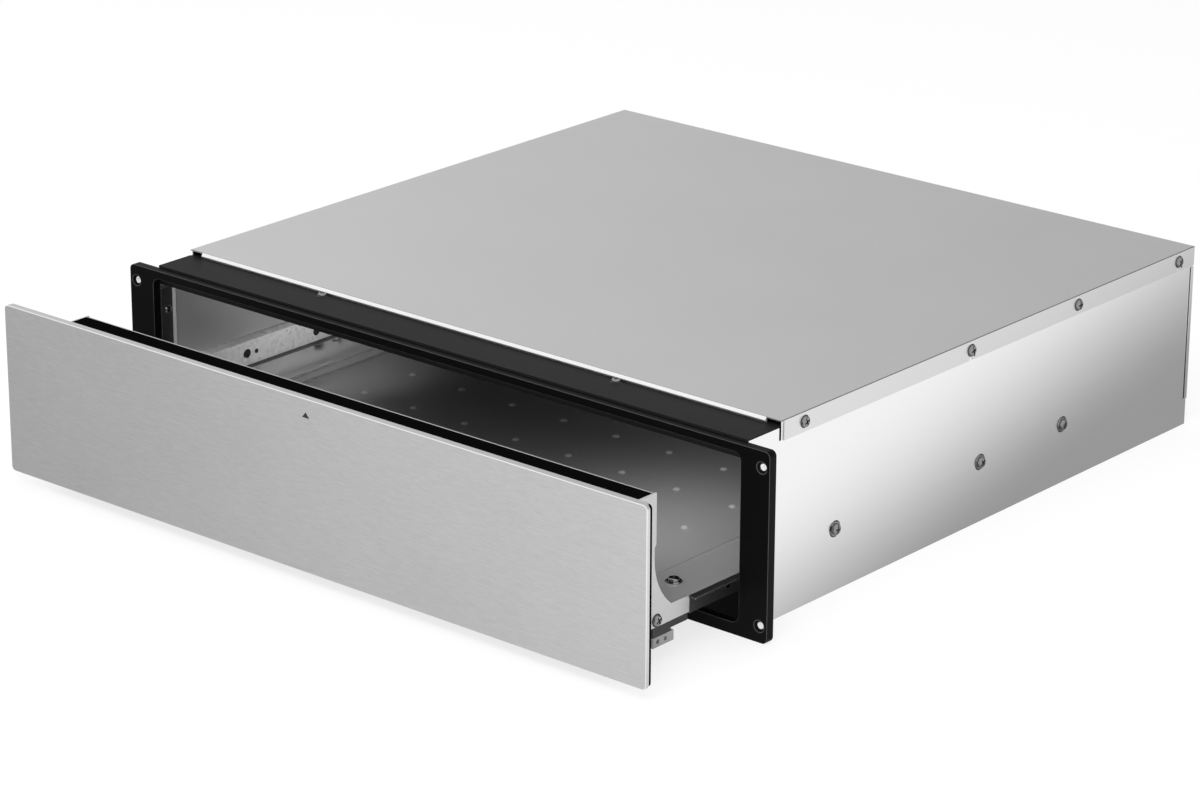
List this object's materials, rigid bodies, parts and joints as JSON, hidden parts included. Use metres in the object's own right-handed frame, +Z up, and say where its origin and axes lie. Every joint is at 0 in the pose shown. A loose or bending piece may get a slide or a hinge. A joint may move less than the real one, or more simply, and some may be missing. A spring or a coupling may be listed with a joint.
{
  "type": "built in warming drawer",
  "caption": "Flat built in warming drawer: zinc steel case, black front frame, sliding shallow drawer with a plain brushed steel push to open front.",
  "frame": {"origin": "middle of the case's underside", "axes": "+Z up, the front panel faces -Y, X across the width"},
  "size_m": [0.5962, 0.6588, 0.14],
  "materials": {
    "front_steel": "fine horizontal grain",
    "door_black": "satin black powder coat",
    "frame_black": "satin black",
    "hood_charcoal": "satin charcoal",
    "zinc_sheet": "smooth zinc coated steel",
    "cover_sheet": "satin zinc coated steel",
    "rail_steel": "galvanised, mottled",
    "runner_dark": "dark plated steel",
    "floor_steel": "polished steel",
    "bright_steel": "bright plated steel",
    "inner_grey": "grey satin coat",
    "inner_dark": "dark satin coat",
    "screw_steel": "bright plated",
    "black_plastic": "fine texture",
    "white_plastic": "smooth",
    "grey_plastic": "smooth",
    "red_plastic": "gloss",
    "amber_lens": "translucent look",
    "heater_tube": "dark oxidised",
    "motor_dark": "dark lacquer",
    "wool": "mineral wool",
    "ceramic": "ivory moulding"
  },
  "bodies": {
    "case": {"base_pan": "zinc_sheet", "side_wall_left": "zinc_sheet", "side_wall_right": "zinc_sheet", "rear_panel": "zinc_sheet", "top_cover": "cover_sheet", "front_frame": "frame_black", "hood": "hood_charcoal", "cheek_left": "inner_dark", "cheek_right": "inner_dark", "liner_left": "inner_grey", "liner_right": "inner_grey", "liner_top": "inner_dark", "liner_back": "inner_grey", "insulation": "wool", "rail_left": "rail_steel", "rail_right": "rail_steel", "front_axles": "screw_steel", "air_duct": "zinc_sheet", "heating_ring": "heater_tube", "motor_mount": "zinc_sheet", "fan_motor": "motor_dark", "thermal_cutout": "ceramic", "terminal_block": "ceramic", "cable_inlet": "black_plastic", "latch_body": "black_plastic", "cover_screws": "screw_steel", "rail_screws": "screw_steel", "cheek_screws": "screw_steel", "hood_screws": "screw_steel", "rear_screws": "screw_steel"},
    "drawer": {"front_panel": "front_steel", "door_box": "door_black", "door_inner_panel": "bright_steel", "wing_left": "bright_steel", "wing_right": "bright_steel", "corner_bracket_left": "bright_steel", "corner_bracket_right": "bright_steel", "drawer_floor": "floor_steel", "runner_left": "runner_dark", "runner_right": "runner_dark", "front_brackets": "black_plastic", "clips": "grey_plastic", "floor_screws": "screw_steel", "wing_screws": "screw_steel", "runner_rivets": "screw_steel", "rear_axles": "screw_steel", "striker": "bright_steel", "thermostat": "grey_plastic", "switch_housing": "black_plastic", "pilot_lamp": "amber_lens"},
    "front_roller_left": {"front_roller_left": "white_plastic"},
    "front_roller_right": {"front_roller_right": "white_plastic"},
    "rear_roller_left": {"rear_roller_left": "white_plastic"},
    "rear_roller_right": {"rear_roller_right": "white_plastic"},
    "fan": {"fan_wheel": "zinc_sheet"},
    "plunger": {"latch_plunger": "white_plastic"},
    "knob": {"thermostat_knob": "black_plastic"},
    "rocker": {"rocker": "red_plastic"}
  },
  "joints": [
    {"name": "drawer_slide", "type": "slide", "parent": "case", "child": "drawer", "axis": [0, -1, 0], "range_m": [-0.116, 0.129]},
    {"name": "front_roller_left_turn", "type": "hinge", "parent": "case", "child": "front_roller_left", "pos_m": [-0.2685, -0.179, 0.0265], "axis": [1, 0, 0], "range_deg": [-666, 741]},
    {"name": "rear_roller_left_turn", "type": "hinge", "parent": "drawer", "child": "rear_roller_left", "pos_m": [-0.2682, -0.0265, 0.0454], "axis": [1, 0, 0], "range_deg": [-565, 628]},
    {"name": "front_roller_right_turn", "type": "hinge", "parent": "case", "child": "front_roller_right", "pos_m": [0.2685, -0.179, 0.0265], "axis": [1, 0, 0], "range_deg": [-666, 741]},
    {"name": "rear_roller_right_turn", "type": "hinge", "parent": "drawer", "child": "rear_roller_right", "pos_m": [0.2682, -0.0265, 0.0454], "axis": [1, 0, 0], "range_deg": [-565, 628]},
    {"name": "fan_spin", "type": "hinge", "parent": "case", "child": "fan", "pos_m": [0, 0.133, 0.0656], "axis": [0, 1, 0], "continuous": true},
    {"name": "plunger_push", "type": "slide", "parent": "case", "child": "plunger", "axis": [0, 1, 0], "range_m": [0, 0.006], "stiffness_N_per_m": 400, "springref_m": -0.004},
    {"name": "knob_turn", "type": "hinge", "parent": "drawer", "child": "knob", "pos_m": [0.19, -0.33465, 0.07365], "axis": [0, -1, 0], "range_deg": [0, 270]},
    {"name": "rocker_tilt", "type": "hinge", "parent": "drawer", "child": "rocker", "pos_m": [0.12, -0.34248, 0.07365], "axis": [1, 0, 0], "range_deg": [-16, 0]}
  ],
  "couplings": [
    {"joint": "front_roller_left_turn", "follows": "drawer_slide", "rad_per_m": 100},
    {"joint": "rear_roller_left_turn", "follows": "drawer_slide", "rad_per_m": 84.746},
    {"joint": "front_roller_right_turn", "follows": "drawer_slide", "rad_per_m": 100},
    {"joint": "rear_roller_right_turn", "follows": "drawer_slide", "rad_per_m": 84.746}
  ]
}
